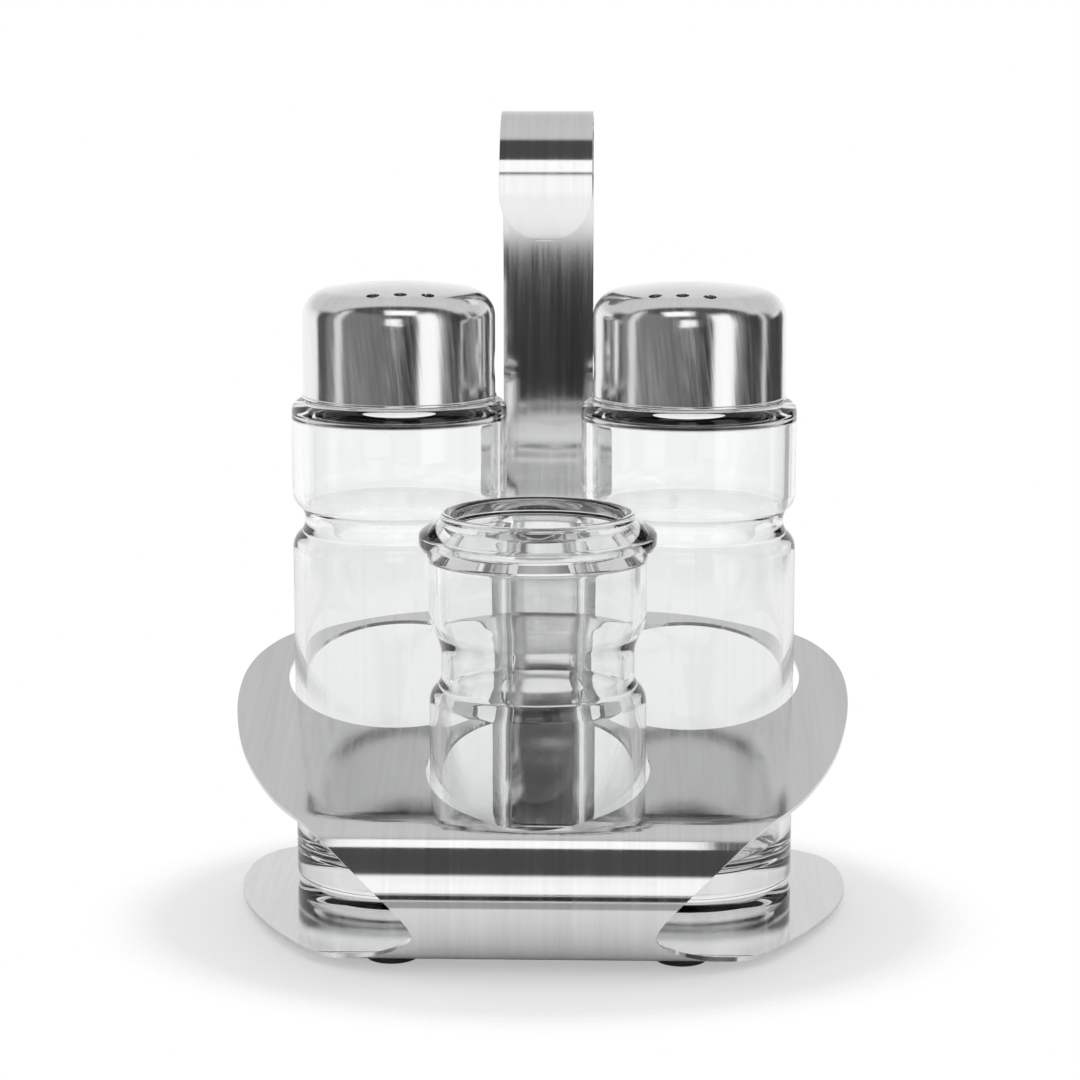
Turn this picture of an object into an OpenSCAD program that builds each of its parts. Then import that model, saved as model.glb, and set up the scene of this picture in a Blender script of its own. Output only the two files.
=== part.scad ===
// Two screw-capped shaker jars and a small open glass, standing in a stand
// bent from one sheet of steel with a curled carrying strip behind.
// Work is done with the base's upper face at zero height and the two jars on
// the zero line of Y; the whole is then moved so that the feet stand at zero
// and the footprint is centred.

/* [Sheet] */
// thickness of the bent sheet
sheet_t = 0.8; // [0.6:0.1:1.5]
// width of the deck's rim beside a jar hole
lobe_rim = 9.45; // [7:0.05:16]
// slope of the upper deck, rising to the back
deck_tilt = 15.2; // [8:0.1:22]
// inner radius of the big front bend
bend_ri = 13.7; // [10:0.1:20]
// distance of the bend's axis in front of the jar line
bend_fwd = 51.4; // [45:0.1:60]
// how far the plates reach behind the jar line
plate_back = 28; // [25:0.1:35]

/* [Holes in the deck] */
// half of the distance between the two jars
jar_half_gap = 28.95; // [26:0.05:34]
// radius of a jar hole, seen from above
jar_hole_r = 22.7; // [22:0.1:25]
// distance of the open glass in front of the jar line
cup_fwd = 37.5; // [34:0.1:42]
// radius of the hole for the open glass
cup_hole_r = 21.5; // [21:0.1:23]

/* [Carrying strip] */
// width of the strip
strip_w = 18.7; // [14:0.1:24]
// thickness of the strip
strip_t = 0.8; // [0.6:0.1:1.5]
// back face of the strip behind the jar line
strip_back = 31.6; // [29:0.1:36]
// height of the curl's top above the base
strip_top = 154.4; // [140:0.1:170]
// outer radius of the tight bend at the top of the back
curl_back_r = 5; // [3:0.1:8]
// outer radius of the wide bend towards the front
curl_front_r = 16; // [12:0.1:17]
// outer radius of the strip's lower bend
toe_r = 2.4; // [1.6:0.1:5]
// front end of the strip's foot behind the jar line
toe_front = 17.5; // [15:0.1:24]

/* [Feet] */
// radius of a rubber foot
foot_r = 5.1; // [4:0.1:7]
// height of a foot below the sheet
foot_h = 2; // [1:0.1:4]
// rounding of the foot's lower edge
foot_edge = 0.6; // [0.2:0.1:1]
// sideways place of the front feet
foot_front_x = 27.6; // [24:0.1:34]
// place of the front feet in front of the jar line
foot_front_y = 46.2; // [38:0.1:48]
// distance of the rear feet in from the lobes' sides
foot_rear_in = 21.1; // [15:0.1:30]
// place of the rear feet behind the jar line
foot_rear_y = 14; // [8:0.5:18]

/* [Jar glass] */
// outer radius of a jar
jar_r = 21.5; // [18:0.1:24]
// wall of the jar
jar_wall = 2.2; // [1.5:0.1:3]
// thickness of the jar's bottom
jar_floor = 5; // [3:0.1:8]
// rounding of the jar's lower edge
jar_heel = 2.5; // [1.5:0.1:5]
// rounding of the hollow's lower corner
jar_well = 6; // [3:0.1:9]
// hollow under the jar's bottom
jar_push = 0.7; // [0.3:0.1:2]
// height of the waist's middle
waist_z = 74.6; // [60:0.1:85]
// half of the waist's height
waist_half = 5.7; // [4:0.1:8]
// depth of the waist
waist_deep = 2.5; // [1:0.1:3.5]
// height where the shoulder starts to round
shoulder_z = 96.4; // [90:0.1:105]
// rounding of the shoulder
shoulder_r = 2.2; // [1.5:0.1:4]
// outer radius of the neck
neck_r = 17; // [14:0.1:18]
// inner radius of the neck
neck_ri = 14.5; // [11:0.1:16]
// height of the neck above the shoulder
neck_h = 15.3; // [12:0.1:20]
// rounding of the neck's mouth
mouth_round = 0.9; // [0.4:0.1:1.2]

/* [Screw thread] */
// outer radius of the two thread ridges
ridge_r = 18.3; // [17.6:0.1:18.6]
// height of a ridge
ridge_h = 1.6; // [1:0.1:2.5]
// angle that one ridge covers
ridge_span = 60; // [40:1:80]
// rise of the thread in one whole turn
thread_lead = 13; // [10:0.5:18]
// height of the lugs' middle above the shoulder, with the cap closed
lug_up = 6.7; // [5:0.1:8]
// radius of the ball that presses a lug into the cap's wall
lug_ball = 2.2; // [1.6:0.1:3]
// place of a lug's tip from the cap's axis
lug_tip = 17.5; // [17.3:0.05:18.2]
// gap between a lug and the ridge above it
lug_gap = 0.4; // [0.2:0.05:0.8]

/* [Cap] */
// outer radius of the cap
cap_r = 19.2; // [17:0.1:21]
// wall of the cap
cap_wall = 0.55; // [0.4:0.05:1]
// radius of the rolled bead at the cap's lower edge
cap_bead = 0.45; // [0.3:0.05:0.8]
// how far the bead stands out from the cap's wall
bead_out = 0.25; // [0.1:0.05:0.4]
// gap between the cap's rim and the shoulder
cap_gap = 0.3; // [0.2:0.05:0.6]
// height of the cap's upright wall above its rim
cap_wall_h = 16.2; // [12:0.1:20]
// radius of the cap's upper edge
cap_edge = 5.5; // [3:0.1:7]
// rise of the shallow dome
cap_dome = 1.2; // [0.6:0.1:4]
// radius of a shaking hole
shake_r = 1.3; // [0.8:0.1:2]
// distance between shaking holes
shake_gap = 5.35; // [4:0.05:8]
// distance of the row of holes from the cap's axis
shake_off = 13.2; // [0:0.1:14]
// where the row stands round the left cap, in degrees
salt_turn = 6; // [-30:1:30]
// where the row stands round the right cap, in degrees
pepper_turn = -7; // [-30:1:30]

/* [Seal ring] */
// thickness of the seal ring on the mouth
seal_h = 1; // [0.6:0.1:2]
// radial thickness of the seal's upright wall
seal_wall = 1.2; // [0.8:0.1:2]
// inner radius of the seal ring
seal_ri = 13; // [10:0.1:15]
// gap between the seal and the cap around it
seal_gap = 0.3; // [0.2:0.05:0.6]

/* [Open glass] */
// outer radius of the body
cup_r = 20.7; // [18:0.1:21.2]
// wall of the glass
cup_wall = 2.2; // [1.5:0.1:3]
// thickness of its bottom
cup_floor = 5; // [3:0.1:8]
// rounding of its lower edge, clear of the front bend
cup_heel = 7.3; // [7.1:0.1:10]
// height where the waist starts
cup_waist_lo = 45.8; // [38:0.1:50]
// height where the waist ends
cup_waist_hi = 63.2; // [56:0.1:68]
// smallest radius of the waist
cup_waist_r = 18.4; // [16:0.1:20]
// length of the waist's straight middle
cup_waist_flat = 3.4; // [1:0.1:6]
// height where the collar starts to flare
flare_z = 73.4; // [68:0.1:76]
// radius of the collar
collar_r = 22.6; // [21.5:0.1:24]
// height of the collar's lower edge
collar_lo = 76.4; // [74:0.1:78]
// height of the collar's upper edge
collar_hi = 78.2; // [77:0.1:80]
// outer radius of the lip
lip_r = 18.5; // [16:0.1:20]
// height where the collar meets the lip
lip_z = 81.2; // [80:0.1:83]
// height of the whole glass
cup_h = 82.2; // [81:0.1:90]
// inner radius of the mouth
cup_mouth_r = 16.3; // [14:0.1:17.5]
// rounding of the hollow's lower corner
cup_well = 8; // [4:0.1:12]

/* [Hidden] */
// everything below is worked out from the sizes above
$fn = 96;
// half of the greatest width of the two lobed plates
lobe_half_w = jar_half_gap + jar_hole_r + lobe_rim;
foot_rear_x = lobe_half_w - foot_rear_in;
bend_ro = bend_ri + sheet_t;
bend_rm = bend_ri + sheet_t / 2;
// length of the deck from the jar line to the bend, along the slope
deck_run = (bend_fwd + bend_rm * sin(deck_tilt)) / cos(deck_tilt);
deck_back = plate_back / cos(deck_tilt);
bend_run = bend_rm * (180 - deck_tilt) * PI / 180;
base_run = bend_fwd + plate_back;
sheet_len = deck_back + deck_run + bend_run + base_run;
bend_start = deck_back + deck_run;
bend_end = bend_start + bend_run;
// how many flat facets make up the bend
bend_facets = 24;
front_y = -bend_fwd - bend_ro;
move_y = -(front_y + strip_back) / 2;
move_z = sheet_t + foot_h;

// half outline of the flat sheet: shares of the half width, and shares of
// the developed length from the deck's back edge to the base's back edge
outline_shares = [
    [0, 0],
    [0.424, 0.007],
    [0.710, 0.033],
    [0.856, 0.059],
    [0.939, 0.092],
    [0.984, 0.132],
    [0.997, 0.180],
    [0.984, 0.233],
    [0.943, 0.296],
    [0.876, 0.352],
    [0.779, 0.405],
    [0.619, 0.459],
    [0.442, 0.510],
    [0.388, 0.529],
    [0.371, 0.542],
    [0.393, 0.553],
    [0.466, 0.572],
    [0.609, 0.597],
    [0.704, 0.618],
    [0.772, 0.646],
    [0.854, 0.689],
    [0.938, 0.748],
    [0.988, 0.806],
    [1, 0.864],
    [0.972, 0.920],
    [0.894, 0.956],
    [0.710, 0.982],
    [0.424, 0.995],
    [0, 1]
];
outline_last = len(outline_shares) - 1;
outline_steps = 3;
// how much of the open glass's waist lies below its narrow middle
waist_low_share = 0.4;

// a smooth curve through the outline's points, mirrored past both ends
function outline_at(i) =
    i < 0 ? [-outline_shares[-i][0], outline_shares[-i][1]]
    : i > outline_last ? [-outline_shares[2 * outline_last - i][0], outline_shares[2 * outline_last - i][1]]
    : outline_shares[i];
function smooth(a, b, c, d, u) =
    (2 * b + (c - a) * u + (2 * a - 5 * b + 4 * c - d) * u * u + (3 * b - a - 3 * c + d) * u * u * u) / 2;
function outline_raw() = [
    for (i = [0 : outline_last - 1])
        for (k = [0 : outline_steps - 1])
            let (u = k / outline_steps)
            let (p = smooth(outline_at(i - 1), outline_at(i), outline_at(i + 1), outline_at(i + 2), u))
            [p[0] * lobe_half_w, p[1] * sheet_len]
];
outline_pts = concat(outline_raw(), [[0, sheet_len]]);
// the same curve as a table from the length to the half width
outline_table = [for (p = outline_pts) [p[1], p[0]]];
function half_at(s) = lookup(s, outline_table);
// the lengths of the curve's points between two places, none close to either
function cut_between(a, b) = [for (p = outline_pts) if (p[1] > a + sheet_t / 2 && p[1] < b - sheet_t / 2) p[1]];
deck_lengths = concat([0], cut_between(0, bend_start));
bend_lengths = [for (i = [0 : bend_facets]) bend_start + bend_run * i / bend_facets];
base_lengths = concat(cut_between(bend_end, sheet_len), [sheet_len]);
lengths = concat(deck_lengths, bend_lengths, base_lengths);
deck_last = len(deck_lengths);
base_first = deck_last + bend_facets;
last = len(lengths) - 1;
loop = 2 * last;

// how far the sheet has turned at a length: none on the deck, then round the
// bend's axis, then flat as the base
function turned(s) = (min(max(s, bend_start), bend_end) - bend_start) / bend_run * (180 - deck_tilt);
// a point of the sheet at a length, a distance out from its middle layer
function sheet_at(x, s, out) =
    let (a = deck_tilt + turned(s))
    let (past = s - min(max(s, bend_start), bend_end))
    [
        x,
        -bend_fwd - (bend_rm + out) * sin(a) - past * cos(a),
        bend_ri + (bend_rm + out) * cos(a) - past * sin(a)
    ];
// the place in the outline's loop of row i, on the right and on the left
function on_right(i) = i;
function on_left(i) = (loop - i) % loop;
// the face over some rows, down the right side and back up the left one
function patch(first, final) = concat(
    [for (i = [first : final]) on_right(i)],
    [for (i = [final : -1 : first]) if (on_left(i) != on_right(i)) on_left(i)]
);
function patches() = concat(
    [patch(0, deck_last)],
    [for (i = [deck_last : base_first - 1]) patch(i, i + 1)],
    [patch(base_first, last)]
);
function raised(f) = [for (i = f) i + loop];

module root_shift() {
    translate([0, move_y, move_z]) children();
}

// the whole bent sheet, from the deck's back edge round to the base's
module bent_sheet() {
    around = concat(lengths, [for (i = [last - 1 : -1 : 1]) lengths[i]]);
    edge = [for (i = [0 : loop - 1]) (i <= last ? 1 : -1) * half_at(around[i])];
    points = concat(
        [for (i = [0 : loop - 1]) sheet_at(edge[i], around[i], -sheet_t / 2)],
        [for (i = [0 : loop - 1]) sheet_at(edge[i], around[i], sheet_t / 2)]
    );
    inside = patches();
    rim = [
        for (i = [0 : loop - 1])
            for (f = [[i, i + loop, (i + 1) % loop + loop], [i, (i + 1) % loop + loop, (i + 1) % loop]])
                f
    ];
    polyhedron(
        points = points,
        faces = concat([for (f = inside) f], [for (f = inside) raised(back_order(f))], rim)
    );
}

// the three upright holes, which leave the base whole
module holes() {
    for (side = [-1, 1])
        translate([side * jar_half_gap, 0, bend_ri])
            cylinder(r = jar_hole_r, h = strip_top / 2);
    translate([0, -cup_fwd, bend_ri])
        cylinder(r = cup_hole_r, h = strip_top / 2);
}

module stand() {
    color([0.78, 0.78, 0.79])
    root_shift()
    difference() {
        bent_sheet();
        holes();
    }
}

// quarter bend of the strip about an axis along X
module strip_bend(y, z, r, from) {
    translate([0, y, z])
        rotate([90, 0, 90])
            rotate([0, 0, from])
                rotate_extrude(angle = 90)
                    translate([r - strip_t, -strip_w / 2])
                        square([strip_t, strip_w]);
}

module handle() {
    curl_y = strip_back - curl_back_r;
    back_z = strip_top - curl_back_r;
    front_z = strip_top - curl_front_r;
    tongue_y = curl_y - curl_front_r;
    color([0.78, 0.78, 0.79])
    root_shift()
    union() {
        translate([-strip_w / 2, toe_front, 0])
            cube([strip_w, strip_back - toe_r - toe_front, strip_t]);
        strip_bend(strip_back - toe_r, toe_r, toe_r, 270);
        translate([-strip_w / 2, strip_back - strip_t, toe_r])
            cube([strip_w, strip_t, back_z - toe_r]);
        strip_bend(curl_y, back_z, curl_back_r, 0);
        strip_bend(curl_y, front_z, curl_front_r, 90);
        intersection() {
            translate([0, tongue_y + strip_t, front_z])
                rotate([90, 0, 0])
                    cylinder(r = strip_w / 2, h = strip_t);
            translate([-strip_w / 2, tongue_y, front_z - strip_w])
                cube([strip_w, strip_t, strip_w]);
        }
    }
}

module foot(x, y) {
    color([0.06, 0.06, 0.06])
    root_shift()
    translate([x, y, -sheet_t - foot_h])
        rotate_extrude()
            difference() {
                square([foot_r, foot_h]);
                translate([foot_r - foot_edge, 0])
                    difference() {
                        square([foot_edge, foot_edge]);
                        translate([0, foot_edge]) circle(r = foot_edge);
                    }
            }
}

module foot_front_left() { foot(-foot_front_x, -foot_front_y); }
module foot_front_right() { foot(foot_front_x, -foot_front_y); }
module foot_rear_left() { foot(-foot_rear_x, foot_rear_y); }
module foot_rear_right() { foot(foot_rear_x, foot_rear_y); }

arc_steps = 8;
shoulder_top = shoulder_z + shoulder_r;
mouth_z = shoulder_top + neck_h;
rim_z = shoulder_top + cap_gap;
edge_z = rim_z + cap_wall_h;
lug_z = shoulder_top + lug_up;
// the ball's half height where it passes under the ridge's outer edge
lug_reach = lug_tip + lug_ball - ridge_r;
lug_half = sqrt(lug_ball * lug_ball - lug_reach * lug_reach);
ridge_z = lug_z + lug_half + lug_gap + ridge_h / 2;
ridge_tilt = atan(thread_lead / (2 * PI * ridge_r));
// the dome and the upper edge meet without a corner
edge_mid = cap_r - cap_edge;
dome_d = (edge_mid * edge_mid + cap_dome * cap_dome) / (2 * cap_dome);
dome_turn = acos(edge_mid / dome_d);
dome_mid_z = edge_z - dome_d * sin(dome_turn);
dome_steps = 6;

// points of an arc between two angles
function arc(cx, cy, r, a, b, n = arc_steps) = [
    for (k = [0 : n])
        let (t = a + (b - a) * k / n)
        [cx + r * cos(t), cy + r * sin(t)]
];

// two equal arcs that carry a wall from one radius to another without a corner
function s_bend(r0, z0, r1, z1) =
    let (turn = 2 * atan(abs(r1 - r0) / (z1 - z0)))
    let (r = (z1 - z0) / (2 * sin(turn)))
    r1 < r0
        ? concat(arc(r0 - r, z0, r, 0, turn), arc(r1 + r, z1, r, 180 + turn, 180))
        : concat(arc(r0 + r, z0, r, 180, 180 - turn), arc(r1 - r, z1, r, -turn, 0));

function back_order(list) = [for (i = [len(list) - 1 : -1 : 0]) list[i]];

// the jar's waist on a face of the given radius
function jar_waist(r) = concat(
    s_bend(r, waist_z - waist_half, r - waist_deep, waist_z),
    s_bend(r - waist_deep, waist_z, r, waist_z + waist_half)
);

// the underside of a glass: a shallow hollow inside a standing ring
function underside(r, heel, wall) = concat(
    [[0, jar_push], [r - heel - wall - jar_push, jar_push], [r - heel - wall, 0]],
    arc(r - heel, heel, heel, -90, 0)
);

module ridge() {
    translate([0, 0, ridge_z])
        rotate([ridge_tilt, 0, 0])
            rotate([0, 0, -ridge_span / 2])
                rotate_extrude(angle = ridge_span)
                    translate([neck_r - ridge_h / 2, -ridge_h / 2])
                        square([ridge_r - neck_r + ridge_h / 2, ridge_h]);
}

module jar_glass(x) {
    inside = jar_r - jar_wall;
    outer = concat(
        underside(jar_r, jar_heel, jar_wall),
        jar_waist(jar_r),
        arc(jar_r - shoulder_r, shoulder_z, shoulder_r, 0, 90),
        [[neck_r, shoulder_top]],
        arc(neck_r - mouth_round, mouth_z - mouth_round, mouth_round, 0, 90)
    );
    hollow = concat(
        arc(neck_ri + mouth_round, mouth_z - mouth_round, mouth_round, 90, 180),
        [[neck_ri, shoulder_top]],
        arc(inside - shoulder_r, shoulder_z - jar_wall, shoulder_r, 90, 0),
        back_order(jar_waist(inside)),
        arc(inside - jar_well, jar_floor + jar_well, jar_well, 0, -90),
        [[0, jar_floor]]
    );
    color([0.85, 0.9, 0.9, 0.35])
    root_shift()
    translate([x, 0, 0])
    union() {
        rotate_extrude() polygon(concat(outer, hollow));
        for (turn = [0, 180]) rotate([0, 0, turn]) ridge();
    }
}

module salt_glass() { jar_glass(-jar_half_gap); }
module pepper_glass() { jar_glass(jar_half_gap); }

module cap(x, turn) {
    inside = cap_r - cap_wall;
    bead_r = cap_r + bead_out - cap_bead;
    outer = concat(
        [[inside, rim_z]],
        arc(bead_r, rim_z + cap_bead, cap_bead, -90, 60),
        [[cap_r, rim_z + 3 * cap_bead], [cap_r, edge_z]],
        arc(edge_mid, edge_z, cap_edge, 0, dome_turn),
        arc(0, dome_mid_z, dome_d + cap_edge, dome_turn, 90, dome_steps)
    );
    hollow = concat(
        back_order(arc(0, dome_mid_z, dome_d + cap_edge - cap_wall, dome_turn, 90, dome_steps)),
        back_order(arc(edge_mid, edge_z, cap_edge - cap_wall, 0, dome_turn))
    );
    color([0.8, 0.8, 0.82])
    root_shift()
    translate([x, 0, 0])
    difference() {
        union() {
            rotate_extrude() polygon(concat(outer, hollow));
            intersection() {
                for (side = [-1, 1])
                    translate([side * (lug_tip + lug_ball), 0, lug_z]) sphere(r = lug_ball);
                translate([0, 0, lug_z - lug_ball]) cylinder(r = cap_r - cap_wall / 2, h = 2 * lug_ball);
            }
        }
        for (side = [-1, 1])
            translate([side * (lug_tip + lug_ball), 0, lug_z]) sphere(r = lug_ball - cap_wall);
        rotate([0, 0, turn])
            for (k = [-1 : 1])
                translate([k * shake_gap, -shake_off, edge_z])
                    cylinder(r = shake_r, h = 2 * cap_edge);
    }
}

module salt_cap() { cap(-jar_half_gap, salt_turn); }
module pepper_cap() { cap(jar_half_gap, pepper_turn); }

// a ring on the jar's mouth, held in the cap between its lugs and its edge
module seal(x) {
    seal_arc = cap_edge - cap_wall - seal_gap;
    seal_out = edge_mid + seal_arc;
    face_z = mouth_z + seal_h;
    rise = dome_turn / 2;
    color([0.93, 0.93, 0.9])
    root_shift()
    translate([x, 0, 0])
    rotate_extrude()
        polygon(concat(
            [[seal_ri, mouth_z], [seal_out, mouth_z]],
            arc(edge_mid, edge_z, seal_arc, 0, rise),
            arc(edge_mid, edge_z, seal_arc - seal_wall, rise, 0),
            [[seal_out - seal_wall, face_z], [seal_ri, face_z]]
        ));
}

module salt_seal() { seal(-jar_half_gap); }
module pepper_seal() { seal(jar_half_gap); }

module cup() {
    inside = cup_r - cup_wall;
    middle_lo = cup_waist_lo + (cup_waist_hi - cup_waist_lo - cup_waist_flat) * waist_low_share;
    middle_hi = middle_lo + cup_waist_flat;
    outer = concat(
        underside(cup_r, cup_heel, cup_wall),
        s_bend(cup_r, cup_waist_lo, cup_waist_r, middle_lo),
        s_bend(cup_waist_r, middle_hi, cup_r, cup_waist_hi),
        [[cup_r, flare_z], [collar_r, collar_lo], [collar_r, collar_hi], [lip_r, lip_z]],
        arc(lip_r - (cup_h - lip_z), lip_z, cup_h - lip_z, 0, 90)
    );
    hollow = concat(
        arc(cup_mouth_r + (cup_h - lip_z), lip_z, cup_h - lip_z, 90, 180),
        [[cup_mouth_r, collar_hi], [inside, collar_lo - cup_wall]],
        back_order(s_bend(cup_waist_r - cup_wall, middle_hi, inside, cup_waist_hi)),
        back_order(s_bend(inside, cup_waist_lo, cup_waist_r - cup_wall, middle_lo)),
        arc(inside - cup_well, cup_floor + cup_well, cup_well, 0, -90),
        [[0, cup_floor]]
    );
    color([0.85, 0.9, 0.9, 0.35])
    root_shift()
    translate([0, -cup_fwd, 0])
    rotate_extrude() polygon(concat(outer, hollow));
}

// which piece is drawn: one name, or all

stand();
handle();
foot_front_left();
foot_front_right();
foot_rear_left();
foot_rear_right();
salt_glass();
salt_seal();
salt_cap();
pepper_glass();
pepper_seal();
pepper_cap();
cup();
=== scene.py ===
"""Visual model of a cruet set: a bent steel stand, two capped shaker jars and an open glass.

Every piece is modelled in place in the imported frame's coordinates and rides on its CAD body.
Lengths are written in millimetres and become metres when a mesh is made.
"""

import logging
import math
from dataclasses import dataclass, field
from enum import Enum
from typing import Callable, Sequence

import bpy
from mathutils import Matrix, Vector

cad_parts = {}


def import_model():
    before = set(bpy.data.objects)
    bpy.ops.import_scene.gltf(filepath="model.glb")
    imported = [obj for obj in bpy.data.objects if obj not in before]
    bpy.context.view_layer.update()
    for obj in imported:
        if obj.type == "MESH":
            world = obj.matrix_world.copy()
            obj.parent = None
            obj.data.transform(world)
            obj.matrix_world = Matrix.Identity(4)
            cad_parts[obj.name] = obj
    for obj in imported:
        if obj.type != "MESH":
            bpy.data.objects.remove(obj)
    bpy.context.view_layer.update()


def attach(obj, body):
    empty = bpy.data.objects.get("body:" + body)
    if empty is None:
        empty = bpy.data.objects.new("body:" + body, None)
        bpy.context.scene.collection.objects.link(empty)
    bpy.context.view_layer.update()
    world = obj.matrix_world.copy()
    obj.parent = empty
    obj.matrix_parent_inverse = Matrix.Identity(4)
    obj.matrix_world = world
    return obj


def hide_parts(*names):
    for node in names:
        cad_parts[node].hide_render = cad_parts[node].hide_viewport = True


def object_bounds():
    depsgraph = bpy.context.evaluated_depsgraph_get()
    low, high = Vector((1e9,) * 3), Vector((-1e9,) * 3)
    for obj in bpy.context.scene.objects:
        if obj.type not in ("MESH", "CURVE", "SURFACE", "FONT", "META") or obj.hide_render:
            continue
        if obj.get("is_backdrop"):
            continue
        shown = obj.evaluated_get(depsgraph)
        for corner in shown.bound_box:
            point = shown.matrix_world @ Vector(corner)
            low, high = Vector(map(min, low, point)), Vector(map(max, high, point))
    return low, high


LOG = logging.getLogger("cruet_set")
MM = 0.001
MOVE_Y = 17.15
MOVE_Z = 2.8
UV_NAME = "Flat"
UV_SCALE = 10
MERGE = 2e-6
CLOSE = 1e-3

Point = tuple[float, float]
Profile = list[Point]


class Slot(Enum):
    """The record's material slots."""

    SHEET = "brushed_sheet"
    CAP = "polished_cap"
    GLASS = "clear_glass"
    RUBBER = "foot_rubber"
    SEAL = "seal_plastic"


class Side(Enum):
    """Which of the two jars a piece belongs to, as a sign along X."""

    SALT = -1
    PEPPER = 1


# Lines of points that become walls


def arc(cx: float, cz: float, r: float, start: float, end: float, steps: int = 12) -> Profile:
    """Points of an arc.

    Args:
        cx: Radius of the arc's centre from the turning axis.
        cz: Height of the arc's centre.
        r: Radius of the arc.
        start: First angle in degrees.
        end: Last angle in degrees.
        steps: Number of chords.

    Returns:
        The points from start to end.
    """
    turns = [math.radians(start + (end - start) * k / steps) for k in range(steps + 1)]
    return [(cx + r * math.cos(t), cz + r * math.sin(t)) for t in turns]


def s_bend(r0: float, z0: float, r1: float, z1: float, steps: int = 8) -> Profile:
    """Two equal arcs that carry a wall from one radius to another without a corner.

    Args:
        r0: Radius at the start.
        z0: Height of the start.
        r1: Radius at the end.
        z1: Height of the end.
        steps: Number of chords in each arc.

    Returns:
        The points from start to end.
    """
    turn = 2 * math.degrees(math.atan(abs(r1 - r0) / (z1 - z0)))
    r = (z1 - z0) / (2 * math.sin(math.radians(turn)))
    if r1 < r0:
        return arc(r0 - r, z0, r, 0, turn, steps) + arc(r1 + r, z1, r, 180 + turn, 180, steps)
    return arc(r0 + r, z0, r, 180, 180 - turn, steps) + arc(r1 - r, z1, r, -turn, 0, steps)


def fillet(points: Profile, r: float, steps: int = 5) -> Profile:
    """Rounds the inner corners of a line of points.

    Args:
        points: The line.
        r: Radius of the rounding.
        steps: Number of chords in each rounding.

    Returns:
        The line with every corner but its ends rounded.
    """
    out = [points[0]]
    for before, here, after in zip(points, points[1:], points[2:]):
        a = (Vector(before) - Vector(here)).normalized()
        b = (Vector(after) - Vector(here)).normalized()
        half = a.angle(b) / 2
        reach = min(r / math.tan(half), 0.45 * min(math.dist(before, here), math.dist(after, here)))
        p, q = Vector(here) + a * reach, Vector(here) + b * reach
        for k in range(steps + 1):
            u = k / steps
            mid = p * (1 - u) ** 2 + Vector(here) * 2 * u * (1 - u) + q * u**2
            out.append((mid.x, mid.y))
    out.append(points[-1])
    return out


def climb(r: float, low: float, high: float, pitch: float) -> Profile:
    """Evenly spaced points up or down an upright wall.

    Args:
        r: Radius of the wall.
        low: Height of the first point.
        high: Height of the last point.
        pitch: Greatest distance between points.

    Returns:
        The points from low to high.
    """
    steps = max(1, math.ceil(abs(high - low) / pitch))
    return [(r, low + (high - low) * k / steps) for k in range(steps + 1)]


def between(p: float, q: float, r: float, e: float, u: float) -> float:
    """A value at the share u of the smooth curve from q to r, with p before them and e after."""
    square, cube = 2 * p - 5 * q + 4 * r - e, 3 * q - p - 3 * r + e
    return (2 * q + (r - p) * u + square * u**2 + cube * u**3) / 2


def level(radii: Sequence[float], z: float) -> Profile:
    """Points at one height."""
    return [(r, z) for r in radii]


def underside(r: float, width: float, push: float, rings: Sequence[float]) -> Profile:
    """The shallow hollow under a glass and the ring that it stands on.

    Args:
        r: Outer radius of the ring.
        width: Width of the ring.
        push: Depth of the hollow.
        rings: Radii that keep the faces in the hollow small.

    Returns:
        The points from the axis to the ring's outer edge.
    """
    inner = r - width
    line = fillet([(0, push), (inner - push, push), (inner, 0), (r, 0)], 0.6)
    return line[:1] + level(rings, push) + line[1:]


def swell(t: float) -> float:
    """A smooth step from 0 to 1 as t goes from 0 to 1."""
    t = min(max(t, 0.0), 1.0)
    return t * t * (3 - 2 * t)


# Modelling steps


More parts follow.
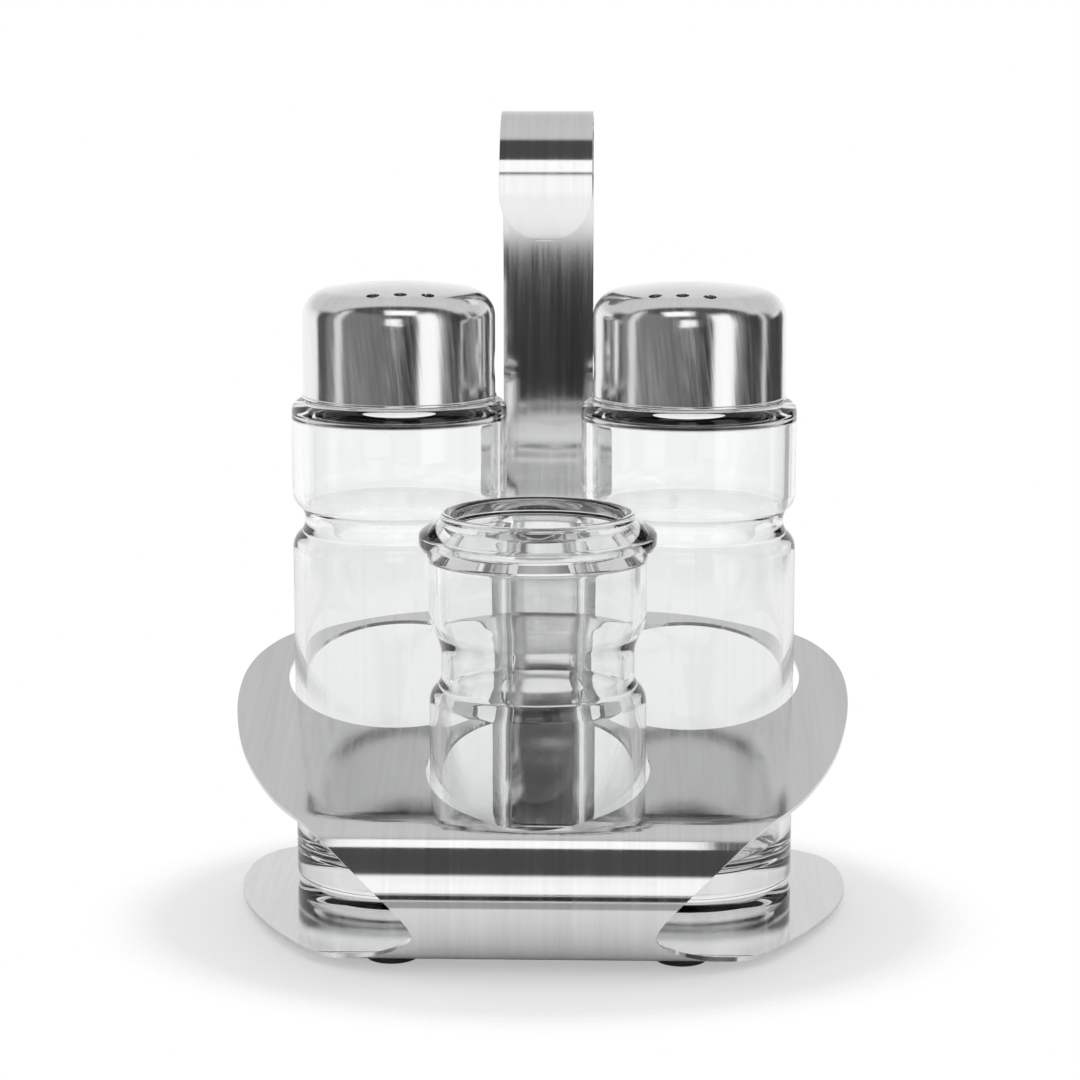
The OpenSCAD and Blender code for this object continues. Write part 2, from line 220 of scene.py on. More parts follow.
class Workshop:
    """Mesh steps that are shared by all pieces."""

    @staticmethod
    def only(obj: bpy.types.Object) -> None:
        """Makes obj the single selected and active object."""
        bpy.ops.object.select_all(action="DESELECT")
        obj.select_set(True)
        bpy.context.view_layer.objects.active = obj

    @staticmethod
    def start(add: Callable, name: str, **settings: object) -> bpy.types.Object:
        """Adds a primitive with nothing else selected.

        Args:
            add: The operator that adds it.
            name: Name of the object and its data.
            **settings: The operator's settings.

        Returns:
            The new object.
        """
        bpy.ops.object.select_all(action="DESELECT")
        add(**settings)
        obj = bpy.context.object
        obj.name = obj.data.name = name
        return obj

    @staticmethod
    def change(obj: bpy.types.Object, kind: str, **settings: object) -> None:
        """Applies a modifier.

        Args:
            obj: The piece.
            kind: The modifier's type.
            **settings: The modifier's settings.
        """
        Workshop.only(obj)
        step = obj.modifiers.new(kind.title(), kind)
        for key, value in settings.items():
            setattr(step, key, value)
        bpy.ops.object.modifier_apply(modifier=step.name)

    @staticmethod
    def tidy(obj: bpy.types.Object) -> None:
        """Merges doubled vertices and turns the normals outward."""
        Workshop.only(obj)
        bpy.ops.object.mode_set(mode="EDIT")
        bpy.ops.mesh.select_all(action="SELECT")
        bpy.ops.mesh.remove_doubles(threshold=MERGE)
        bpy.ops.mesh.normals_make_consistent(inside=False)
        bpy.ops.object.mode_set(mode="OBJECT")

    @staticmethod
    def smooth(obj: bpy.types.Object, degrees: float = 35.0) -> None:
        """Shades obj smooth up to an angle."""
        Workshop.only(obj)
        bpy.ops.object.shade_smooth_by_angle(angle=math.radians(degrees))

    @staticmethod
    def even(obj: bpy.types.Object) -> None:
        """Lets the large faces of obj set the shading of its rounded edges."""
        Workshop.change(obj, "WEIGHTED_NORMAL", keep_sharp=True, weight=100)

    @staticmethod
    def settle(obj: bpy.types.Object) -> None:
        """Moves obj's place into its mesh."""
        Workshop.only(obj)
        bpy.ops.object.transform_apply(location=True, rotation=True, scale=True)

    @staticmethod
    def turned(
        name: str, profile: Profile, centre: Point, segments: int, closed: bool = False
    ) -> bpy.types.Object:
        """Turns a profile round an upright axis.

        Args:
            name: Name of the new object.
            profile: Radius and height of each ring; an open profile starts and ends at the axis.
            centre: Place of the axis along X and Y.
            segments: Number of corners of each ring.
            closed: Whether the last ring meets the first.

        Returns:
            The closed turned object.
        """
        rings = [p for i, p in enumerate(profile) if i == 0 or math.dist(p, profile[i - 1]) > CLOSE]
        start = rings[0] if closed else rings[1]
        rest = (rings[1:] + [rings[0]]) if closed else rings[2:-1]
        cx, cy = centre[0] * MM, (centre[1] + MOVE_Y) * MM
        obj = Workshop.start(
            bpy.ops.mesh.primitive_circle_add,
            name,
            vertices=segments,
            radius=start[0] * MM,
            fill_type="NOTHING" if closed else "TRIFAN",
            location=(cx, cy, (start[1] + MOVE_Z) * MM),
        )
        Workshop.settle(obj)
        bpy.ops.object.mode_set(mode="EDIT")
        bpy.ops.mesh.select_all(action="DESELECT")
        if closed:
            bpy.ops.mesh.select_all(action="SELECT")
        else:
            bpy.ops.mesh.select_non_manifold()
        last = start
        for r, z in rest:
            bpy.ops.mesh.extrude_edges_move(TRANSFORM_OT_translate={"value": (0, 0, (z - last[1]) * MM)})
            share = r / last[0]
            bpy.ops.transform.resize(
                value=(share, share, 1), center_override=(cx, cy, (z + MOVE_Z) * MM), orient_type="GLOBAL"
            )
            last = (r, z)
        if not closed:
            rise = (rings[-1][1] - last[1]) * MM
            bpy.ops.mesh.extrude_edges_move(TRANSFORM_OT_translate={"value": (0, 0, rise)})
            bpy.ops.mesh.merge(type="CENTER")
        bpy.ops.object.mode_set(mode="OBJECT")
        Workshop.tidy(obj)
        Workshop.wrap(obj, (cx, cy))
        return obj

    @staticmethod
    def wrap(obj: bpy.types.Object, centre: Point) -> None:
        """Lays a turned piece out flat: the turn along U, the height in decimetres along V.

        Args:
            obj: The turned piece.
            centre: Place of its axis in metres.
        """
        mesh = obj.data
        layer = mesh.uv_layers.new(name=UV_NAME)
        for face in mesh.polygons:
            places = [mesh.vertices[v].co for v in face.vertices]
            turns = [math.atan2(p.y - centre[1], p.x - centre[0]) / math.tau for p in places]
            if max(turns) - min(turns) > 0.5:
                turns = [t + 1 if t < 0 else t for t in turns]
            for loop, turn, place in zip(face.loop_indices, turns, places):
                layer.data[loop].uv = (turn, place.z * UV_SCALE)

    @staticmethod
    def copy(source: bpy.types.Object, name: str, shift: Vector) -> bpy.types.Object:
        """Copies a piece with its own mesh.

        Args:
            source: The finished piece.
            name: Name of the copy.
            shift: How far the copy stands from the source, in metres.

        Returns:
            The copy.
        """
        Workshop.only(source)
        bpy.ops.object.duplicate(linked=False)
        twin = bpy.context.object
        twin.name = twin.data.name = name
        bpy.ops.transform.translate(value=shift)
        Workshop.settle(twin)
        return twin

    @staticmethod
    def reshape(obj: bpy.types.Object, move: Callable[[Vector], Vector]) -> None:
        """Moves every vertex of obj by a formula."""
        for vertex in obj.data.vertices:
            vertex.co = move(vertex.co.copy())
        obj.data.update()

    @staticmethod
    def cut(obj: bpy.types.Object, cutter: bpy.types.Object) -> None:
        """Takes cutter out of obj and removes cutter."""
        Workshop.change(obj, "BOOLEAN", operation="DIFFERENCE", solver="EXACT", object=cutter)
        Workshop.only(cutter)
        bpy.ops.object.delete()


@dataclass(frozen=True)
class Leg:
    """One stretch of a bent sheet's path: its length and how far it turns, in degrees."""

    length: float
    turn: float = 0.0


@dataclass(frozen=True)
class SheetPath:
    """The middle layer of a bent sheet, seen from the side.

    Args:
        start: Place of the first point along Y and Z.
        heading: Direction of the first leg, in degrees from +Y towards +Z.
        legs: The straight and bent stretches in order.
    """

    start: Point
    heading: float
    legs: tuple[Leg, ...]

    @property
    def length(self) -> float:
        """Length of the whole path."""
        return sum(leg.length for leg in self.legs)

    def at(self, s: float) -> tuple[float, float, float]:
        """Place and heading at a length along the path.

        Args:
            s: Length from the start.

        Returns:
            The place along Y and Z and the heading in radians.
        """
        y, z = self.start
        a = math.radians(self.heading)
        left = s
        for i, leg in enumerate(self.legs):
            run = left if i == len(self.legs) - 1 else min(left, leg.length)
            if leg.turn:
                r = leg.length / math.radians(leg.turn)
                b = a + run / r
                y += r * (math.sin(b) - math.sin(a))
                z -= r * (math.cos(b) - math.cos(a))
                a = b
            else:
                y += run * math.cos(a)
                z += run * math.sin(a)
            left -= run
            if left <= 0:
                break
        return y, z, a

    def bent(self, flat: Vector) -> Vector:
        """Carries a point of the flat blank to its place in the bent sheet, in metres."""
        y, z, a = self.at(flat.y / MM)
        out = flat.z / MM
        return Vector((flat.x, (y - out * math.sin(a) + MOVE_Y) * MM, (z + out * math.cos(a) + MOVE_Z) * MM))


class Blank:
    """A flat sheet that is cut, rounded at its edges and then bent along a path."""

    hole_corners: int = 192
    hole_depth: float = 10
    edge_faces: int = 2
    edge_turn: float = 50

    def __init__(self, name: str, rows: Sequence[Point], thickness: float, path: SheetPath) -> None:
        """Draws the blank row by row.

        Args:
            name: Name of the object.
            rows: Half width and length of each row.
            thickness: Thickness of the sheet.
            path: The path it is bent along.
        """
        self.path = path
        self.obj = Workshop.start(bpy.ops.mesh.primitive_plane_add, name, size=2, location=(0, 0, 0))
        (w0, s0), (w1, s1) = rows[0], rows[1]
        for vertex in self.obj.data.vertices:
            far = vertex.co.y > 0
            vertex.co.x *= (w1 if far else w0) * MM
            vertex.co.y = (s1 if far else s0) * MM
            vertex.select = far
        for edge in self.obj.data.edges:
            edge.select = all(self.obj.data.vertices[v].select for v in edge.vertices)
        self.obj.data.polygons[0].select = False
        bpy.ops.object.mode_set(mode="EDIT")
        bpy.ops.mesh.select_mode(type="EDGE")
        for (w, s), (next_w, next_s) in zip(rows[1:], rows[2:]):
            bpy.ops.mesh.extrude_edges_move(TRANSFORM_OT_translate={"value": (0, (next_s - s) * MM, 0)})
            bpy.ops.transform.resize(
                value=(next_w / w, 1, 1), center_override=(0, next_s * MM, 0), orient_type="GLOBAL"
            )
        bpy.ops.mesh.select_mode(type="VERT")
        bpy.ops.object.mode_set(mode="OBJECT")
        Workshop.tidy(self.obj)
        Workshop.change(self.obj, "SOLIDIFY", thickness=thickness * MM, offset=0)

    def hole(self, x: float, y: float, r: float, flat: Callable[[float], float]) -> None:
        """Cuts a hole that is round when seen from above.

        Args:
            x: Place of the hole across the sheet.
            y: Place of the hole along Y in the bent sheet.
            r: Radius of the hole.
            flat: Turns a place along Y into a length of the blank.
        """
        cutter = Workshop.start(
            bpy.ops.mesh.primitive_cylinder_add,
            "Cutter",
            vertices=self.hole_corners,
            radius=r * MM,
            depth=self.hole_depth * MM,
            location=(x * MM, y * MM, 0),
        )
        Workshop.settle(cutter)
        Workshop.reshape(cutter, lambda p: Vector((p.x, flat(p.y / MM) * MM, p.z)))
        Workshop.tidy(cutter)
        Workshop.cut(self.obj, cutter)

    def bend(self, edge: float) -> bpy.types.Object:
        """Rounds the edges, lays out the surface and bends the blank.

        Args:
            edge: Width of the edges' rounding.

        Returns:
            The finished sheet.
        """
        Workshop.tidy(self.obj)
        Workshop.change(
            self.obj,
            "BEVEL",
            width=edge * MM,
            segments=self.edge_faces,
            limit_method="ANGLE",
            angle_limit=math.radians(self.edge_turn),
            use_clamp_overlap=True,
        )
        mesh = self.obj.data
        layer = mesh.uv_layers.new(name=UV_NAME)
        for face in mesh.polygons:
            for loop, v in zip(face.loop_indices, face.vertices):
                layer.data[loop].uv = mesh.vertices[v].co.xy * UV_SCALE
        Workshop.reshape(self.obj, self.path.bent)
        Workshop.smooth(self.obj, self.edge_turn)
        Workshop.even(self.obj)
        return self.obj


# Finishes


class Graph:
    """A small helper that adds and links shader nodes."""

    def __init__(self, tree: bpy.types.NodeTree) -> None:
        """Clears the tree and works in it."""
        self.tree = tree
        tree.nodes.clear()

    def add(self, kind: str, inputs: dict | None = None, **settings: object) -> bpy.types.Node:
        """Adds a node.

        Args:
            kind: The node's type.
            inputs: Values or output sockets for its inputs, by name or number.
            **settings: Attributes of the node.

        Returns:
            The new node.
        """
        node = self.tree.nodes.new(kind)
        for key, value in settings.items():
            setattr(node, key, value)
        for key, value in (inputs or {}).items():
            if isinstance(value, bpy.types.NodeSocket):
                self.tree.links.new(value, node.inputs[key])
            else:
                node.inputs[key].default_value = value
        return node

    def math(self, operation: str, *values: object) -> bpy.types.NodeSocket:
        """Adds a math node and returns its result."""
        node = self.add("ShaderNodeMath", dict(enumerate(values)), operation=operation)
        return node.outputs[0]

    def step(self, value: bpy.types.NodeSocket, low: float, high: float) -> bpy.types.NodeSocket:
        """A smooth step of a value from low to high."""
        node = self.add(
            "ShaderNodeMapRange",
            {"Value": value, "From Min": low, "From Max": high},
            interpolation_type="SMOOTHSTEP",
        )
        return node.outputs[0]

    def drop(self, value: bpy.types.NodeSocket, low: float, high: float) -> bpy.types.NodeSocket:
        """A smooth step down from 1 to 0."""
        return self.math("SUBTRACT", 1.0, self.step(value, low, high))

    def group(self, name: str, **inputs: object) -> bpy.types.NodeSocket:
        """Adds a shared group and returns its value."""
        return self.add("ShaderNodeGroup", inputs, node_tree=bpy.data.node_groups[name]).outputs[0]

    def surface(self, height: bpy.types.NodeSocket, distance: float, inputs: dict) -> None:
        """Ends a material.

        Args:
            height: The relief from 0 to 1.
            distance: The relief's height in metres.
            inputs: What else the surface's shader is given.
        """
        bump = self.add("ShaderNodeBump", {"Height": height, "Strength": 1.0, "Distance": distance})
        shader = self.add("ShaderNodeBsdfPrincipled", {**inputs, "Normal": bump.outputs[0]})
        self.add("ShaderNodeOutputMaterial", {"Surface": shader.outputs[0]})

    def ramp(self, value: bpy.types.NodeSocket, stops: Sequence[Point]) -> bpy.types.NodeSocket:
        """A grey ramp.

        Args:
            value: What drives it.
            stops: Place from 0 to 1 and grey value of each stop.

        Returns:
            The grey value.
        """
        node = self.add("ShaderNodeValToRGB", {"Fac": value})
        ends = node.color_ramp.elements
        for place, _ in stops[2:]:
            ends.new(place)
        for element, (place, grey) in zip(ends, sorted(stops)):
            element.position = place
            element.color = (grey, grey, grey, 1)
        return node.outputs["Color"]


def noise_group(name: str, given: Sequence[str], value: str) -> tuple[Graph, bpy.types.Node]:
    """Starts a shared node group.

    Args:
        name: Name of the group.
        given: Names of its inputs: first a vector, then numbers.
        value: Name of its output.

    Returns:
        Its graph and its input node.
    """
    tree = bpy.data.node_groups.new(name, "ShaderNodeTree")
    for k, label in enumerate(given):
        kind = "NodeSocketFloat" if k else "NodeSocketVector"
        tree.interface.new_socket(label, in_out="INPUT", socket_type=kind)
    tree.interface.new_socket(value, in_out="OUTPUT", socket_type="NodeSocketFloat")
    graph = Graph(tree)
    return graph, graph.add("NodeGroupInput")


def spread(graph: Graph, value: str, noise: bpy.types.Node) -> None:
    """Ends a shared group: spreads its noise from 0 to 1 and puts it out."""
    wide = graph.add("ShaderNodeMapRange", {"Value": noise.outputs[0], "From Min": 0.3, "From Max": 0.7})
    graph.add("NodeGroupOutput", {value: wide.outputs[0]})


def streak_group() -> None:
    """The fine straight streaks of brushing: a value from 0 to 1 over flat coordinates."""
    graph, given = noise_group("FineStreaks", ("Flat", "Across", "Along"), "Streak")
    split = graph.add("ShaderNodeSeparateXYZ", {0: given.outputs["Flat"]})
    across = graph.math("MULTIPLY", split.outputs["X"], given.outputs["Across"])
    along = graph.math("MULTIPLY", split.outputs["Y"], given.outputs["Along"])
    place = graph.add("ShaderNodeCombineXYZ", {"X": across, "Y": along}).outputs[0]
    noise = graph.add("ShaderNodeTexNoise", {"Vector": place, "Scale": 1.0, "Detail": 3.0, "Roughness": 0.65})
    spread(graph, "Streak", noise)


def smudge_group() -> None:
    """Soft uneven patches of handling: a value from 0 to 1 over object coordinates."""
    graph, given = noise_group("Smudges", ("Place", "Scale"), "Smudge")
    place, scale = given.outputs["Place"], given.outputs["Scale"]
    spread(graph, "Smudge", graph.add("ShaderNodeTexNoise", {"Vector": place, "Scale": scale, "Detail": 2.0}))


@dataclass(frozen=True)
class Finish:
    """What every finish has.

    Args:
        name: Name of the material.
        slot: The record's slot it belongs to; not used.
    """

    name: str
    slot: Slot

    def material(self) -> bpy.types.Material:
        """The material, made on first use."""
        found = bpy.data.materials.get(self.name)
        if found:
            return found
        made = bpy.data.materials.new(self.name)
        made.use_nodes = True
        self.draw(Graph(made.node_tree))
        return made

    def draw(self, graph: Graph) -> None:
        """Draws the material's nodes."""
        raise NotImplementedError

    def dress(self, obj: bpy.types.Object) -> None:
        """Gives obj this finish alone."""
        obj.data.materials.clear()
        obj.data.materials.append(self.material())


@dataclass(frozen=True)
class Steel(Finish):
    """Stainless steel with streaks.

    Args:
        colour: Grey value of the metal.
        rough: Roughness between and on the streaks.
        across: Streaks for each unit of U.
        along: Breaks of the streaks for each unit of V.
        relief: Height of the streaks in metres.
        slant: How far the streaks lean, as U for each V.
        broad: How much wider and longer the broad streaks are than the fine ones.
        tint: Greys of the dark and the light streaks as shares of the colour.
        patch: Size of the handling patches, as patches for each metre.
        worn: How much rougher the patches are.
    """

    colour: float
    rough: tuple[float, float]
    across: float
    along: float
    relief: float
    slant: float = 0.0
    broad: Point = (5, 2)
    tint: Point = (0.93, 1.07)
    patch: float = 45.0
    worn: float = 0.02

    def draw(self, graph: Graph) -> None:
        """Draws streaks in colour, roughness and relief."""
        uv = graph.add("ShaderNodeUVMap", uv_map=UV_NAME)
        split = graph.add("ShaderNodeSeparateXYZ", {0: uv.outputs[0]})
        lean = graph.math("MULTIPLY_ADD", split.outputs["Y"], self.slant, split.outputs["X"])
        flat = graph.add("ShaderNodeCombineXYZ", {"X": lean, "Y": split.outputs["Y"]}).outputs[0]
        fine = graph.group("FineStreaks", Flat=flat, Across=self.across, Along=self.along)
        wide, long = self.broad
        broad = graph.group("FineStreaks", Flat=flat, Across=self.across / wide, Along=self.along / long)
        place = graph.add("ShaderNodeTexCoord").outputs["Object"]
        soft = graph.group("Smudges", Place=place, Scale=self.patch)
        both = graph.math("MULTIPLY_ADD", broad, 0.5, graph.math("MULTIPLY", fine, 0.5))
        dark, light = (self.colour * share for share in self.tint)
        grey = graph.math("MULTIPLY_ADD", both, light - dark, dark)
        tone = graph.add("ShaderNodeCombineColor", {"Red": grey, "Green": grey, "Blue": grey})
        low, high = self.rough
        rough = graph.math("MULTIPLY_ADD", soft, self.worn, graph.math("MULTIPLY_ADD", both, high - low, low))
        graph.surface(both, self.relief, {"Base Color": tone.outputs[0], "Metallic": 1.0, "Roughness": rough})


@dataclass(frozen=True)
class Glass(Finish):
    """Clear pressed glass.

    Args:
        wave: Height of its slight waviness in metres.
        patch: Size of the waves, as waves for each metre.
        ior: How much it bends light.
    """

    wave: float
    patch: float = 60.0
    ior: float = 1.5

    def draw(self, graph: Graph) -> None:
        """Draws clear glass with a slight waviness."""
        place = graph.add("ShaderNodeTexCoord").outputs["Object"]
        inputs = {
            "Base Color": (0.985, 0.99, 0.99, 1),
            "Metallic": 0.0,
            "Roughness": 0.0,
            "IOR": self.ior,
            "Transmission Weight": 1.0,
        }
        graph.surface(graph.group("Smudges", Place=place, Scale=self.patch), self.wave, inputs)


@dataclass(frozen=True)
class Plain(Finish):
    """Rubber or plastic of one colour with a soft unevenness.

    Args:
        colour: The colour.
        rough: Its roughness.
        grain: Height of its grain in metres.
        glow: Share of light that passes into it.
        depth: How deep that light goes, in metres.
        uneven: How much rougher its grain makes it.
        patch: Size of the grain, as grains for each metre.
    """

    colour: tuple[float, float, float]
    rough: float
    grain: float
    glow: float = 0.0
    depth: float = 0.001
    uneven: float = 0.06
    patch: float = 900.0

    def draw(self, graph: Graph) -> None:
        """Draws one colour with a fine grain."""
        place = graph.add("ShaderNodeTexCoord").outputs["Object"]
        soft = graph.group("Smudges", Place=place, Scale=self.patch)
        inputs = {
            "Base Color": (*self.colour, 1),
            "Metallic": 0.0,
            "Roughness": graph.math("MULTIPLY_ADD", soft, self.uneven, self.rough),
            "Subsurface Weight": self.glow,
            "Subsurface Scale": self.depth,
        }
        graph.surface(soft, self.grain, inputs)


BRUSHED = Steel("BrushedSheet", Slot.SHEET, 0.80, (0.045, 0.12), 110.0, 3.0, 1.6e-6)
POLISHED = Steel("PolishedCap", Slot.CAP, 0.84, (0.05, 0.24), 150.0, 6.0, 9e-6, slant=0.09)
CLEAR = Glass("ClearGlass", Slot.GLASS, 1.2e-5)
BLACK = Plain("FootRubber", Slot.RUBBER, (0.022, 0.022, 0.023), 0.6, 8e-6)
MILKY = Plain("SealPlastic", Slot.SEAL, (0.85, 0.85, 0.82), 0.42, 4e-6, glow=0.3)


# The stand, the carrying strip and the feet


@dataclass
class Stand:
    """The sheet that makes the base, the front bend and the sloped deck with its holes."""

    thickness: float = 0.8
    half_width: float = 61.1
    tilt: float = 15.2
    bend_inner: float = 13.7
    bend_fwd: float = 51.4
    plate_back: float = 28.0
    jar_gap: float = 28.95
    jar_hole: float = 22.7
    cup_fwd: float = 37.5
    cup_hole: float = 21.5
    edge: float = 0.16
    outline: Profile = field(
        default_factory=lambda: [
            (0, 0), (0.424, 0.007), (0.710, 0.033), (0.856, 0.059), (0.939, 0.092),
            (0.984, 0.132), (0.997, 0.180), (0.984, 0.233), (0.943, 0.296), (0.876, 0.352),
            (0.779, 0.405), (0.619, 0.459), (0.442, 0.510), (0.388, 0.529), (0.371, 0.542),
            (0.393, 0.553), (0.466, 0.572), (0.609, 0.597), (0.704, 0.618), (0.772, 0.646),
            (0.854, 0.689), (0.938, 0.748), (0.988, 0.806), (1, 0.864), (0.972, 0.920),
            (0.894, 0.956), (0.710, 0.982), (0.424, 0.995), (0, 1),
        ]
    )

    @property
    def middle(self) -> float:
        """Radius of the bend's middle layer."""
        return self.bend_inner + self.thickness / 2

    @property
    def deck_run(self) -> float:
        """Length of the deck from its back edge to the bend."""
        t = math.radians(self.tilt)
        return (self.plate_back + self.bend_fwd + self.middle * math.sin(t)) / math.cos(t)

    def path(self) -> SheetPath:
        """The sheet's middle layer from the deck's back edge to the base's."""
        t = math.radians(self.tilt)
        top_y = -self.bend_fwd - self.middle * math.sin(t)
        top_z = self.bend_inner + self.middle * math.cos(t)
        start = (top_y + self.deck_run * math.cos(t), top_z + self.deck_run * math.sin(t))
        bend = self.middle * math.radians(180 - self.tilt)
        legs = (Leg(self.deck_run), Leg(bend, 180 - self.tilt), Leg(self.bend_fwd + self.plate_back))
        return SheetPath(start, 180 + self.tilt, legs)

    def flat(self, y: float) -> float:
        """Length of the blank at a place along Y on the deck or the bend's upper half."""
        t = math.radians(self.tilt)
        top_y = -self.bend_fwd - self.middle * math.sin(t)
        if y >= top_y:
            return self.deck_run - (y - top_y) / math.cos(t)
        return self.deck_run + (math.asin(min(1.0, (-self.bend_fwd - y) / self.middle)) - t) * self.middle

    def rows(self, length: float, steps: int = 8) -> Profile:
        """The outline as rows: a smooth curve through its points.

        Args:
            length: Length of the blank.
            steps: Rows for each two neighbouring points.

        Returns:
            Half width and length of each row, without the two tips.
        """
        pts = self.outline
        ring = [(-pts[1][0], pts[1][1])] + pts + [(-pts[-2][0], pts[-2][1])]
        rows = []
        for a, b, c, d in zip(ring, ring[1:], ring[2:], ring[3:]):
            for k in range(steps):
                w, s = (between(*four, k / steps) for four in zip(a, b, c, d))
                rows.append((w * self.half_width, s * length))
        return rows[1:]

    def build(self) -> bpy.types.Object:
        """Cuts and bends the sheet."""
        path = self.path()
        blank = Blank("Stand", self.rows(path.length), self.thickness, path)
        for side in Side:
            blank.hole(side.value * self.jar_gap, 0, self.jar_hole, self.flat)
        blank.hole(0, -self.cup_fwd, self.cup_hole, self.flat)
        sheet = blank.bend(self.edge)
        BRUSHED.dress(sheet)
        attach(sheet, "stand")
        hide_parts("stand")
        return sheet


@dataclass
class Handle:
    """The carrying strip: a foot on the base, an upright back and a curled, rounded tongue."""

    width: float = 18.7
    thickness: float = 0.8
    toe_front: float = 17.5
    back: float = 31.6
    top: float = 154.4
    toe_r: float = 2.4
    curl_back: float = 5.0
    curl_front: float = 16.0
    edge: float = 0.16

    def path(self) -> SheetPath:
        """The strip's middle layer from the foot's front end to the tongue's tip."""
        half = self.thickness / 2

        def quarter(r: float) -> Leg:
            """A bend through a right angle with the outer radius r."""
            return Leg((r - half) * math.pi / 2, 90)

        legs = (
            Leg(self.back - self.toe_r - self.toe_front),
            quarter(self.toe_r),
            Leg(self.top - self.curl_back - self.toe_r),
            quarter(self.curl_back),
            quarter(self.curl_front),
            Leg(self.width / 2),
        )
        return SheetPath((self.toe_front, half), 0, legs)

    def rows(self, path: SheetPath) -> Profile:
        """Half width and length of each row, close together in the bends and the tongue."""
        half = self.width / 2
        rows: Profile = [(half, 0)]
        s = 0.0
        for leg in path.legs[:-1]:
            steps = 20 if leg.turn else max(1, round(leg.length / 6))
            rows += [(half, s + leg.length * (k + 1) / steps) for k in range(steps)]
            s += leg.length
        for k in range(1, 32):
            a = math.pi / 2 * k / 32
            rows.append((half * math.cos(a), s + half * math.sin(a)))
        return rows

    def build(self) -> bpy.types.Object:
        """Cuts and bends the strip."""
        path = self.path()
        strip = Blank("Handle", self.rows(path), self.thickness, path).bend(self.edge)
        BRUSHED.dress(strip)
        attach(strip, "stand")
        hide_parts("handle")
        return strip


@dataclass
class Feet:
    """Four round rubber feet under the base."""

    r: float = 5.1
    height: float = 2.0
    round_r: float = 0.6
    sheet: float = 0.8
    front: Point = (27.6, -46.2)
    rear: Point = (40.0, 14.0)
    low_rings: Point = (1.5, 3.2)
    top_ring: float = 2.5
    corners: int = 64

    def build(self) -> list[bpy.types.Object]:
        """Models one foot and copies it to the other three places."""
        low = -self.sheet - self.height
        profile = (
            level((0, *self.low_rings), low)
            + arc(self.r - self.round_r, low + self.round_r, self.round_r, -90, 0, 8)
            + level((self.r, self.top_ring, 0), -self.sheet)
        )
        places = {
            "front_left": (-self.front[0], self.front[1]),
            "front_right": self.front,
            "rear_left": (-self.rear[0], self.rear[1]),
            "rear_right": self.rear,
        }
        first = Workshop.turned("FootFrontLeft", profile, places["front_left"], self.corners)
        Workshop.smooth(first)
        feet = []
        for where, place in places.items():
            shift = Vector((place[0] - places["front_left"][0], place[1] - places["front_left"][1], 0)) * MM
            name = "Foot" + where.title().replace("_", "")
            foot = first if where == "front_left" else Workshop.copy(first, name, shift)
            feet.append(foot)
        for foot, where in zip(feet, places):
            BLACK.dress(foot)
            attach(foot, "stand")
            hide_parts(f"foot_{where}")
        return feet


# The jars and the open glass


@dataclass
class Jar:
    """The sizes that a jar's glass, cap and seal share."""

    gap: float = 28.95
    shoulder_z: float = 96.4
    shoulder_r: float = 2.2
    neck_h: float = 15.3
    neck_r: float = 17.0
    cap_r: float = 19.2
    cap_edge: float = 5.5
    cap_wall: float = 0.55
    cap_dome: float = 1.2
    cap_gap: float = 0.3
    cap_wall_h: float = 16.2
    lug_up: float = 6.7

    @property
    def shoulder_top(self) -> float:
        """Height of the shoulder's flat top."""
        return self.shoulder_z + self.shoulder_r

    @property
    def mouth_z(self) -> float:
        """Height of the neck's mouth."""
        return self.shoulder_top + self.neck_h

    @property
    def rim_z(self) -> float:
        """Height of the cap's rim."""
        return self.shoulder_top + self.cap_gap

    @property
    def edge_z(self) -> float:
        """Height where the cap's upper edge starts to round."""
        return self.rim_z + self.cap_wall_h

    @property
    def edge_mid(self) -> float:
        """Radius of the middle of the cap's rounded edge."""
        return self.cap_r - self.cap_edge

    @property
    def dome_d(self) -> float:
        """Distance from the dome's centre to the middle of the rounded edge."""
        return (self.edge_mid**2 + self.cap_dome**2) / (2 * self.cap_dome)

    @property
    def dome_turn(self) -> float:
        """Angle where the rounded edge meets the dome, in degrees."""
        return math.degrees(math.acos(self.edge_mid / self.dome_d))

    @property
    def dome_z(self) -> float:
        """Height of the dome's centre."""
        return self.edge_z - self.dome_d * math.sin(math.radians(self.dome_turn))

    def centre(self, side: Side) -> Point:
        """Place of a jar's axis."""
        return (side.value * self.gap, 0.0)

    @property
    def axis(self) -> Vector:
        """Foot of the left jar's axis in metres."""
        x, y = self.centre(Side.SALT)
        return Vector((x * MM, (y + MOVE_Y) * MM, 0))

    def twin_shift(self) -> Vector:
        """From the left jar to the right one, in metres."""
        return Vector((2 * self.gap * MM, 0, 0))


